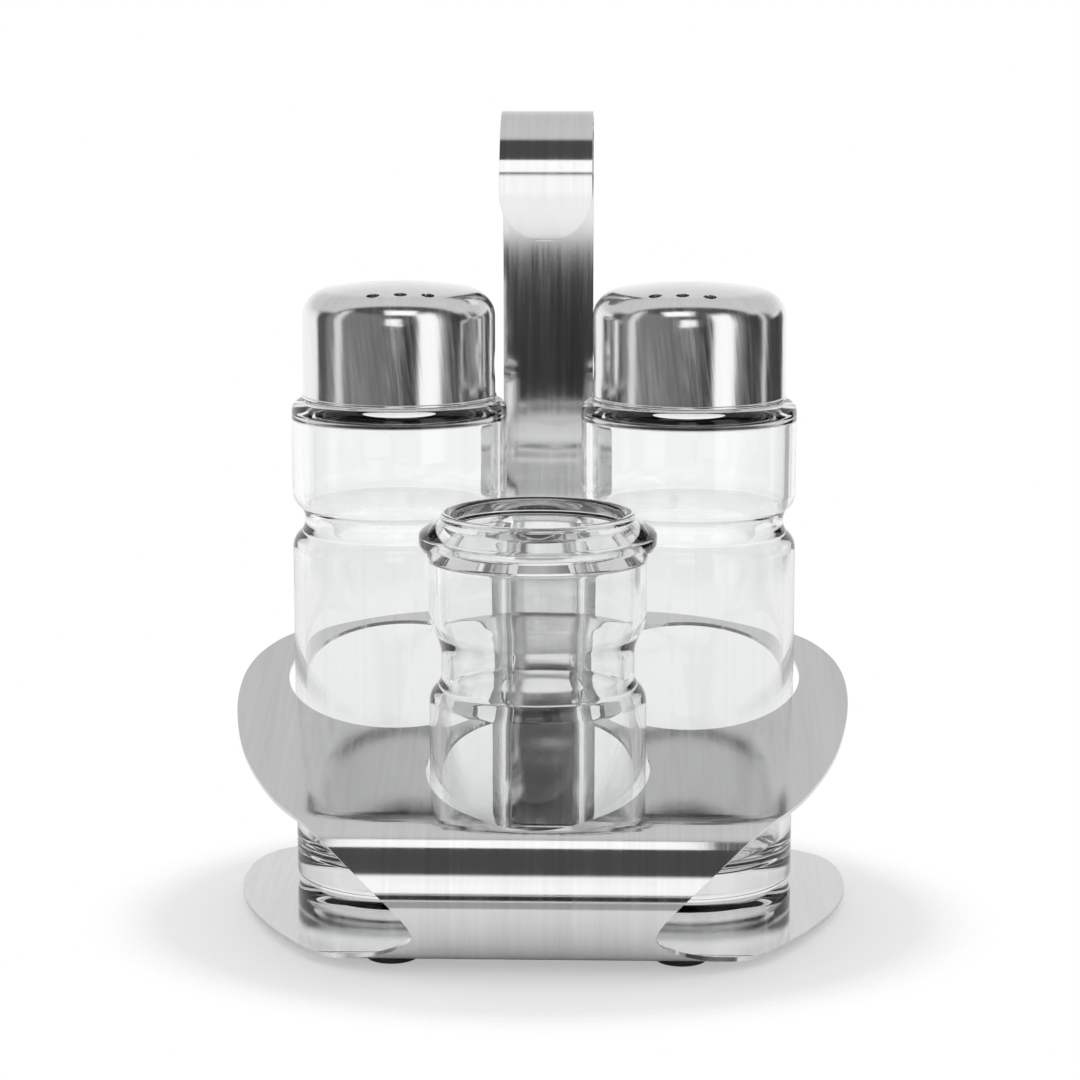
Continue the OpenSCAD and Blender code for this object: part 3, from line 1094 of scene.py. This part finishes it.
@dataclass
class JarGlass:
    """The waisted glass of a shaker jar with its threaded neck."""

    jar: Jar
    r: float = 21.5
    wall: float = 2.2
    floor: float = 5.0
    heel: float = 2.5
    well: float = 6.0
    push: float = 0.7
    waist_z: float = 74.6
    waist_half: float = 5.7
    waist_deep: float = 2.5
    neck_ri: float = 14.5
    mouth_round: float = 0.9
    ridge_r: float = 18.3
    ridge_z: float = 108.2
    ridge_h: float = 1.6
    ridge_span: float = 60.0
    ridge_fade: float = 7.0
    ridge_soft: float = 0.45
    thread_lead: float = 13.0
    root: float = 0.5
    inner_root: float = 0.6
    low_rings: Point = (4.0, 10.0)
    floor_rings: Point = (8.0, 3.0)
    pitch: float = 0.35
    corners: int = 144

    def waist(self, r: float) -> Profile:
        """The waist on a face of radius r."""
        low = s_bend(r, self.waist_z - self.waist_half, r - self.waist_deep, self.waist_z)
        return low + s_bend(r - self.waist_deep, self.waist_z, r, self.waist_z + self.waist_half)

    def profile(self) -> Profile:
        """The whole wall, from the underside's middle over the mouth to the hollow's floor."""
        jar, inside = self.jar, self.r - self.wall
        root_z = jar.shoulder_top + self.inner_root
        outer = (
            underside(self.r - self.heel, self.wall, self.push, self.low_rings)
            + arc(self.r - self.heel, self.heel, self.heel, -90, 0)
            + self.waist(self.r)
            + arc(self.r - jar.shoulder_r, jar.shoulder_z, jar.shoulder_r, 0, 90)
            + arc(jar.neck_r + self.root, jar.shoulder_top + self.root, self.root, -90, -180, 5)
            + climb(jar.neck_r, jar.shoulder_top + 0.8, jar.mouth_z - self.mouth_round - 0.2, self.pitch)
            + arc(jar.neck_r - self.mouth_round, jar.mouth_z - self.mouth_round, self.mouth_round, 0, 90)
        )
        hollow = (
            arc(self.neck_ri + self.mouth_round, jar.mouth_z - self.mouth_round, self.mouth_round, 90, 180)
            + [(self.neck_ri, root_z)]
            + arc(self.neck_ri + self.inner_root, root_z, self.inner_root, 180, 250, 5)
            + arc(inside - jar.shoulder_r, jar.shoulder_z - self.wall, jar.shoulder_r, 90, 0)
            + self.waist(inside)[::-1]
            + arc(inside - self.well, self.floor + self.well, self.well, 0, -90, 16)
            + level((*self.floor_rings, 0), self.floor)
        )
        return outer + hollow

    def threaded(self, centre: Vector, place: Vector) -> Vector:
        """Raises a vertex of the neck where a thread ridge passes.

        Args:
            centre: Place of the jar's axis in metres.
            place: The vertex in metres.

        Returns:
            Its new place.
        """
        out = Vector((place.x - centre.x, place.y - centre.y, 0))
        z = place.z / MM - MOVE_Z
        if abs(out.length / MM - self.jar.neck_r) > 0.05 or z < self.jar.shoulder_top + 0.9:
            return place
        turn = math.degrees(math.atan2(out.y, out.x))
        turn = (turn + 90) % 180 - 90
        ends = swell((self.ridge_span / 2 - abs(turn)) / self.ridge_fade)
        off = abs(z - self.ridge_z - self.thread_lead * turn / 360) / (self.ridge_h / 2 + self.ridge_soft)
        height = (self.ridge_r - self.jar.neck_r) * ends * swell(1.6 * (1 - off))
        return place + out.normalized() * height * MM

    def build(self) -> list[bpy.types.Object]:
        """Models the left glass and copies it to the right."""
        first = Workshop.turned("SaltGlass", self.profile(), self.jar.centre(Side.SALT), self.corners)
        Workshop.reshape(first, lambda p: self.threaded(self.jar.axis, p))
        Workshop.smooth(first, 40)
        second = Workshop.copy(first, "PepperGlass", self.jar.twin_shift())
        for glass, node in ((first, "salt_glass"), (second, "pepper_glass")):
            CLEAR.dress(glass)
            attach(glass, node)
            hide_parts(node)
        return [first, second]


@dataclass
class Cap:
    """The screw cap: a thin drawn cup with a rolled rim, two pressed lugs and three holes."""

    jar: Jar
    bead: float = 0.45
    bead_out: float = 0.25
    dent: float = 1.1
    dent_r: float = 3.3
    hole_r: float = 1.3
    hole_gap: float = 5.35
    hole_off: float = 13.2
    drill: float = 9.0
    drill_up: float = 5.0
    salt_turn: float = 6.0
    pepper_turn: float = -7.0
    pitch: float = 0.6
    corners: int = 176
    hole_corners: int = 48

    def profile(self) -> Profile:
        """The wall from the dome's top down the outside, round the rim and up the inside."""
        jar = self.jar
        inside = jar.cap_r - jar.cap_wall
        bead_r = jar.cap_r + self.bead_out - self.bead
        top = jar.dome_d + jar.cap_edge
        dome_out = arc(0, jar.dome_z, top, 90, jar.dome_turn, 26)
        dome_in = arc(0, jar.dome_z, top - jar.cap_wall, jar.dome_turn, 90, 26)
        return (
            dome_out
            + arc(jar.edge_mid, jar.edge_z, jar.cap_edge, jar.dome_turn, 0, 22)[1:]
            + climb(jar.cap_r, jar.edge_z - self.pitch, jar.rim_z + 3.4 * self.bead, self.pitch)
            + arc(bead_r, jar.rim_z + self.bead, self.bead, 62, -110, 14)
            + [(inside, jar.rim_z + 0.35)]
            + climb(inside, jar.rim_z + 0.9, jar.edge_z - 0.3, self.pitch)
            + arc(jar.edge_mid, jar.edge_z, jar.cap_edge - jar.cap_wall, 0, jar.dome_turn, 18)
            + dome_in[1:]
        )

    def dented(self, centre: Vector, place: Vector) -> Vector:
        """Presses a vertex of the wall inwards where a lug is.

        Args:
            centre: Place of the cap's axis in metres.
            place: The vertex in metres.

        Returns:
            Its new place.
        """
        out = Vector((place.x - centre.x, place.y - centre.y, 0))
        r = out.length / MM
        if r < self.jar.cap_r - self.jar.cap_wall - 0.1:
            return place
        lug_z = self.jar.shoulder_top + self.jar.lug_up
        off = math.hypot(out.y / MM, place.z / MM - MOVE_Z - lug_z) / self.dent_r
        if off >= 1 or abs(out.x) < abs(out.y):
            return place
        return place - out.normalized() * self.dent * (1 - off * off) ** 2 * MM

    def pierce(self, cap: bpy.types.Object, side: Side, turn: float) -> None:
        """Cuts the three shaking holes through a cap's top.

        Args:
            cap: The cap.
            side: Which jar it closes.
            turn: How far the row of holes stands turned, in degrees.
        """
        x, y = self.jar.centre(side)
        t = math.radians(turn)
        for k in (-1, 0, 1):
            px, py = k * self.hole_gap, -self.hole_off
            hx = x + px * math.cos(t) - py * math.sin(t)
            hy = y + px * math.sin(t) + py * math.cos(t)
            cutter = Workshop.start(
                bpy.ops.mesh.primitive_cylinder_add,
                "Cutter",
                vertices=self.hole_corners,
                radius=self.hole_r * MM,
                depth=self.drill * MM,
                location=(hx * MM, (hy + MOVE_Y) * MM, (self.jar.edge_z + self.drill_up + MOVE_Z) * MM),
            )
            Workshop.settle(cutter)
            Workshop.cut(cap, cutter)

    def build(self) -> list[bpy.types.Object]:
        """Models the left cap, copies it to the right and pierces both."""
        first = Workshop.turned("SaltCap", self.profile(), self.jar.centre(Side.SALT), self.corners)
        Workshop.reshape(first, lambda p: self.dented(self.jar.axis, p))
        second = Workshop.copy(first, "PepperCap", self.jar.twin_shift())
        for cap, node, side, turn in (
            (first, "salt_cap", Side.SALT, self.salt_turn),
            (second, "pepper_cap", Side.PEPPER, self.pepper_turn),
        ):
            self.pierce(cap, side, turn)
            Workshop.smooth(cap, 38)
            POLISHED.dress(cap)
            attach(cap, node)
            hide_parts(node)
        return [first, second]


@dataclass
class Seal:
    """The soft ring inside a cap that closes on the jar's mouth."""

    jar: Jar
    height: float = 1.0
    wall: float = 1.2
    ri: float = 13.0
    gap: float = 0.3
    lip: float = 1.8
    corner: float = 0.2
    corners: int = 112

    def build(self) -> list[bpy.types.Object]:
        """Models the left ring and copies it to the right."""
        jar = self.jar
        reach = jar.cap_edge - jar.cap_wall - self.gap
        out = jar.edge_mid + reach
        rise = jar.dome_turn / 2
        face = jar.mouth_z + self.height
        profile = (
            level((self.ri, self.ri + self.lip, out - self.corner), jar.mouth_z)
            + [(out, jar.mouth_z + self.corner)]
            + arc(jar.edge_mid, jar.edge_z, reach, 0, rise, 10)
            + arc(jar.edge_mid, jar.edge_z, reach - self.wall, rise, 0, 10)
            + level((out - self.wall, self.ri + self.lip, self.ri), face)
        )
        first = Workshop.turned("SaltSeal", profile, jar.centre(Side.SALT), self.corners, closed=True)
        Workshop.smooth(first)
        second = Workshop.copy(first, "PepperSeal", jar.twin_shift())
        for ring, node in ((first, "salt_seal"), (second, "pepper_seal")):
            MILKY.dress(ring)
            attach(ring, node)
            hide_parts(node)
        return [first, second]


@dataclass
class Cup:
    """The small open glass in front."""

    fwd: float = 37.5
    r: float = 20.7
    wall: float = 2.2
    floor: float = 5.0
    heel: float = 7.3
    push: float = 0.7
    waist_lo: float = 45.8
    waist_hi: float = 63.2
    waist_r: float = 18.4
    waist_flat: float = 3.4
    waist_low_share: float = 0.4
    flare_z: float = 73.4
    collar_r: float = 22.6
    collar_lo: float = 76.4
    collar_hi: float = 78.2
    lip_r: float = 18.5
    lip_z: float = 81.2
    height: float = 82.2
    mouth_r: float = 16.3
    well: float = 8.0
    flare_round: float = 1.3
    mouth_round: float = 2.0
    low_rings: Point = (3.0, 7.0)
    floor_rings: Point = (7.0, 3.0)
    corners: int = 144

    def profile(self) -> Profile:
        """The whole wall, from the underside's middle over the lip to the hollow's floor."""
        inside = self.r - self.wall
        lip = self.height - self.lip_z
        mid_lo = self.waist_lo + (self.waist_hi - self.waist_lo - self.waist_flat) * self.waist_low_share
        mid_hi = mid_lo + self.waist_flat
        collar = fillet(
            [
                (self.r, self.waist_hi),
                (self.r, self.flare_z),
                (self.collar_r, self.collar_lo),
                (self.collar_r, self.collar_hi),
                (self.lip_r, self.lip_z),
            ],
            self.flare_round,
            7,
        )
        outer = (
            underside(self.r - self.heel, self.wall, self.push, self.low_rings)
            + arc(self.r - self.heel, self.heel, self.heel, -90, 0, 18)
            + s_bend(self.r, self.waist_lo, self.waist_r, mid_lo)
            + s_bend(self.waist_r, mid_hi, self.r, self.waist_hi)
            + collar[1:]
            + arc(self.lip_r - lip, self.lip_z, lip, 25, 90, 8)
        )
        mouth = fillet(
            [
                (self.mouth_r, self.lip_z),
                (self.mouth_r, self.collar_hi),
                (inside, self.collar_lo - self.wall),
                (inside, self.waist_hi),
            ],
            self.mouth_round,
            7,
        )
        hollow = (
            arc(self.mouth_r + lip, self.lip_z, lip, 90, 180, 8)
            + mouth[1:]
            + s_bend(self.waist_r - self.wall, mid_hi, inside, self.waist_hi)[::-1]
            + s_bend(inside, self.waist_lo, self.waist_r - self.wall, mid_lo)[::-1]
            + arc(inside - self.well, self.floor + self.well, self.well, 0, -90, 18)
            + level((*self.floor_rings, 0), self.floor)
        )
        return outer + hollow

    def build(self) -> bpy.types.Object:
        """Models the open glass."""
        glass = Workshop.turned("Cup", self.profile(), (0, -self.fwd), self.corners)
        Workshop.smooth(glass, 40)
        CLEAR.dress(glass)
        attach(glass, "cup")
        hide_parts("cup")
        return glass


# The studio


@dataclass
class Studio:
    """Floor, surroundings and camera.

    Args:
        fill: Strength of the even light that falls on the set.
        floor_grey: Grey value of the floor.
        floor_r: Radii in metres between which the floor ends for mirrors.
        seen_r: Half widths in metres between which the floor fades to white for the camera.
        seen_depth: How much sooner it fades to the front and back than to the sides.
        lift: Share of white that the camera sees through the floor everywhere, so shadows stay light.
        least: The darkest grey of the room, in mirrors and through glass.
        panel_low: Heights in degrees between which the front panel starts.
        panel_high: Heights in degrees between which it ends.
        panel_side: Half widths in degrees between which it ends sideways.
        panel_turn: How far it stands to the left, in degrees.
        panel_grey: How bright it is.
        roof_side: Shares of the way sideways between which the roof ends.
        lens: The camera's lens in millimetres.
        place: The camera's place in metres.
        pitch: The camera's turn about X in degrees.
        yaw: The camera's turn about Z in degrees.
    """

    fill: float = 0.97
    floor_grey: float = 0.9
    floor_r: Point = (0.40, 0.50)
    seen_r: Point = (0.062, 0.092)
    seen_depth: float = 1.22
    lift: float = 0.4
    least: Point = (0.035, 0.45)
    panel_low: Point = (-1.8, -0.8)
    panel_high: Point = (22.0, 29.0)
    panel_side: Point = (8.0, 11.0)
    panel_turn: float = 2.0
    panel_grey: float = 1.15
    roof_side: Point = (0.84, 0.96)
    lens: float = 106.67
    place: tuple[float, float, float] = (0.01923, -0.61615, 0.18869)
    pitch: float = 79.63
    yaw: float = 1.81

    def belt(self) -> Profile:
        """The grey of what stands round the set at its own height, from behind it over its left."""
        turns = [
            (-180, 0.0), (-108, 0.0), (-105, 0.07), (-93, 0.08), (-89, 0.22), (-79, 0.22), (-77, 0.8),
            (-69, 0.8), (-66, 0.20), (-40, 0.20), (-14, 0.15), (-2, 0.03), (26, 0.02), (29, 1.15),
            (52, 1.15), (57, 0.3), (70, 0.05), (94, 0.04), (97, 0.75), (101, 0.75), (104, 0.05),
            (142, 0.05), (146, 0.0), (180, 0.0),
        ]
        return [((a + 180) / 360, grey) for a, grey in turns]

    def roof(self) -> Profile:
        """The grey from the back's horizon over the top to the front's and below it."""
        return [
            (0.0, 0.0), (0.04, 0.0), (0.07, 0.82), (0.12, 0.72), (0.23, 0.62), (0.5, 0.66), (0.535, 0.6),
            (0.56, 0.07), (1.0, 0.07),
        ]

    def back(self) -> Profile:
        """The grey behind the set from straight down to straight up."""
        return [(0.0, 1.0), (0.5, 1.0), (0.53, 0.95), (0.58, 0.82), (0.62, 0.0), (1.0, 0.0)]

    def room(self, graph: Graph, through: bpy.types.NodeSocket) -> bpy.types.NodeSocket:
        """A dark room with a light roof, back, sides and front panel.

        Args:
            graph: The world's nodes.
            through: Whether a ray comes through glass.

        Returns:
            Its grey value in each direction.
        """
        way = graph.add("ShaderNodeTexCoord").outputs["Generated"]
        x, y, z = graph.add("ShaderNodeSeparateXYZ", {0: way}).outputs
        turn = graph.math("ARCTAN2", x, graph.math("MULTIPLY", y, -1.0))
        degrees = graph.math("MULTIPLY", turn, 180 / math.pi)
        rise = graph.math("MULTIPLY", graph.math("ARCSINE", z), 180 / math.pi)
        around = graph.ramp(graph.math("MULTIPLY_ADD", turn, 1 / math.tau, 0.5), self.belt())
        belt = graph.math("MULTIPLY", around, graph.drop(rise, 34.0, 56.0))
        behind = graph.math("MAXIMUM", graph.step(degrees, 142.0, 147.0), graph.drop(degrees, -111.0, -106.0))
        up = graph.math("MULTIPLY_ADD", rise, 1 / 180, 0.5)
        back = graph.math("MULTIPLY", behind, graph.ramp(up, self.back()))
        panel = graph.math("MULTIPLY", graph.step(rise, *self.panel_low), graph.drop(rise, *self.panel_high))
        aside = graph.math("ABSOLUTE", graph.math("ADD", degrees, self.panel_turn))
        panel = graph.math("MULTIPLY", panel, graph.drop(aside, *self.panel_side))
        panel = graph.math("MULTIPLY", panel, self.panel_grey)
        over = graph.math("MULTIPLY", graph.math("ARCTAN2", z, y), 1 / math.pi)
        across = graph.drop(graph.math("ABSOLUTE", x), *self.roof_side)
        roof = graph.math("MULTIPLY", graph.ramp(over, self.roof()), across)
        dark, pale = self.least
        grey = graph.math("MULTIPLY_ADD", through, pale - dark, dark)
        for part in (belt, back, panel, roof):
            grey = graph.math("MAXIMUM", grey, part)
        return grey

    def surroundings(self) -> None:
        """White for the camera, an even fill for the light and the room for mirrors and glass."""
        world = bpy.data.worlds.new("Studio")
        bpy.context.scene.world = world
        world.use_nodes = True
        graph = Graph(world.node_tree)
        ray = graph.add("ShaderNodeLightPath").outputs
        through = ray["Is Transmission Ray"]
        lights = ((self.room(graph, through), 1.0), ((1, 1, 1, 1), self.fill), ((1, 1, 1, 1), 1.0))
        room, even, white = (
            graph.add("ShaderNodeBackground", {"Color": colour, "Strength": strength}).outputs[0]
            for colour, strength in lights
        )
        mirror = graph.math("MAXIMUM", ray["Is Glossy Ray"], through)
        lit = graph.add("ShaderNodeMixShader", {0: mirror, 1: even, 2: room})
        seen = graph.add("ShaderNodeMixShader", {0: ray["Is Camera Ray"], 1: lit.outputs[0], 2: white})
        graph.add("ShaderNodeOutputWorld", {"Surface": seen.outputs[0]})

    @staticmethod
    def paint(obj: bpy.types.Object, name: str) -> Graph:
        """Gives a piece of the studio a new material and returns its empty graph."""
        material = bpy.data.materials.new(name)
        material.use_nodes = True
        obj.data.materials.append(material)
        return Graph(material.node_tree)

    def floor(self) -> None:
        """A pale round floor that fades into the white around it."""
        floor = Workshop.start(
            bpy.ops.mesh.primitive_circle_add,
            "Floor",
            vertices=96,
            radius=self.floor_r[1],
            fill_type="NGON",
            location=(0, 0, 0),
        )
        graph = self.paint(floor, "PaleFloor")
        place = graph.add("ShaderNodeTexCoord").outputs["Object"]
        far = graph.add("ShaderNodeVectorMath", {0: place}, operation="LENGTH")
        deep = graph.add("ShaderNodeVectorMath", {0: place, 1: (1, self.seen_depth, 1)}, operation="MULTIPLY")
        near = graph.add("ShaderNodeVectorMath", {0: deep.outputs[0]}, operation="LENGTH")
        ray = graph.add("ShaderNodeLightPath")
        seen = graph.math("MAXIMUM", graph.step(near.outputs["Value"], *self.seen_r), self.lift)
        seen = graph.math("MULTIPLY", seen, ray.outputs["Is Camera Ray"])
        fade = graph.math("MAXIMUM", seen, graph.step(far.outputs["Value"], *self.floor_r))
        grey = self.floor_grey
        pale = graph.add("ShaderNodeBsdfDiffuse", {"Color": (grey, grey, grey, 1)})
        clear = graph.add("ShaderNodeBsdfTransparent")
        mixed = graph.add("ShaderNodeMixShader", {0: fade, 1: pale.outputs[0], 2: clear.outputs[0]})
        graph.add("ShaderNodeOutputMaterial", {"Surface": mixed.outputs[0]})
        floor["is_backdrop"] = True

    def card(self, name: str, size: Point, place: Sequence[float], tilt: float, strength: float) -> None:
        """A card that only shows in mirrors.

        Args:
            name: Name of the card.
            size: Its width and height in metres.
            place: Its middle in metres.
            tilt: Its turn about X in degrees; 0 lies flat.
            strength: How bright it is.
        """
        turn = (math.radians(tilt), 0, 0)
        card = Workshop.start(bpy.ops.mesh.primitive_plane_add, name, size=1, location=place, rotation=turn)
        card.scale = (*size, 1)
        Workshop.settle(card)
        graph = self.paint(card, name)
        glow = graph.add("ShaderNodeEmission", {"Color": (1, 1, 1, 1), "Strength": strength})
        graph.add("ShaderNodeOutputMaterial", {"Surface": glow.outputs[0]})
        card.visible_camera = card.visible_diffuse = card.visible_shadow = card.visible_transmission = False
        card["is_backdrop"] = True

    def camera(self) -> None:
        """The camera that matches the photograph."""
        turn = (math.radians(self.pitch), 0, math.radians(self.yaw))
        camera = Workshop.start(bpy.ops.object.camera_add, "Camera", location=self.place, rotation=turn)
        camera.data.lens = self.lens
        camera.data.sensor_width = 36
        camera.data.clip_start = 0.01
        bpy.context.scene.camera = camera

    def build(self) -> None:
        """Sets up the whole studio."""
        bpy.context.scene.view_settings.view_transform = "Standard"
        self.surroundings()
        self.floor()
        for name, size, place, tilt, strength in (
            ("LowCard", (0.08, 0.045), (-0.012, -0.35, 0.1175), 90, 1.1),
            ("DarkCard", (0.14, 0.0105), (0, -0.12, 0.0083), 90, 0.03),
            ("FloorCard", (0.14, 0.036), (0, -0.101, 0.0006), 0, 0.38),
            ("TopCard", (0.10, 0.06), (-0.012, -0.105, 0.25), 35, 1.2),
        ):
            self.card(name, size, place, tilt, strength)
        self.camera()


def corners() -> list[list[float]]:
    """The shown object's lowest and highest corner as plain lists."""
    return [list(corner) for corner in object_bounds()]


def main() -> None:
    """Builds the set piece by piece, then the studio."""
    logging.basicConfig(level=logging.INFO, format="%(message)s")
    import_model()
    streak_group()
    smudge_group()
    jar = Jar()
    steps = (
        ("stand", Stand()),
        ("carrying strip", Handle()),
        ("feet", Feet()),
        ("jar glasses", JarGlass(jar)),
        ("seals", Seal(jar)),
        ("caps", Cap(jar)),
        ("open glass", Cup()),
        ("studio", Studio()),
    )
    for name, piece in steps:
        piece.build()
        LOG.info("built the %s", name)
    bpy.context.view_layer.update()


if __name__ == "__main__":
    main()
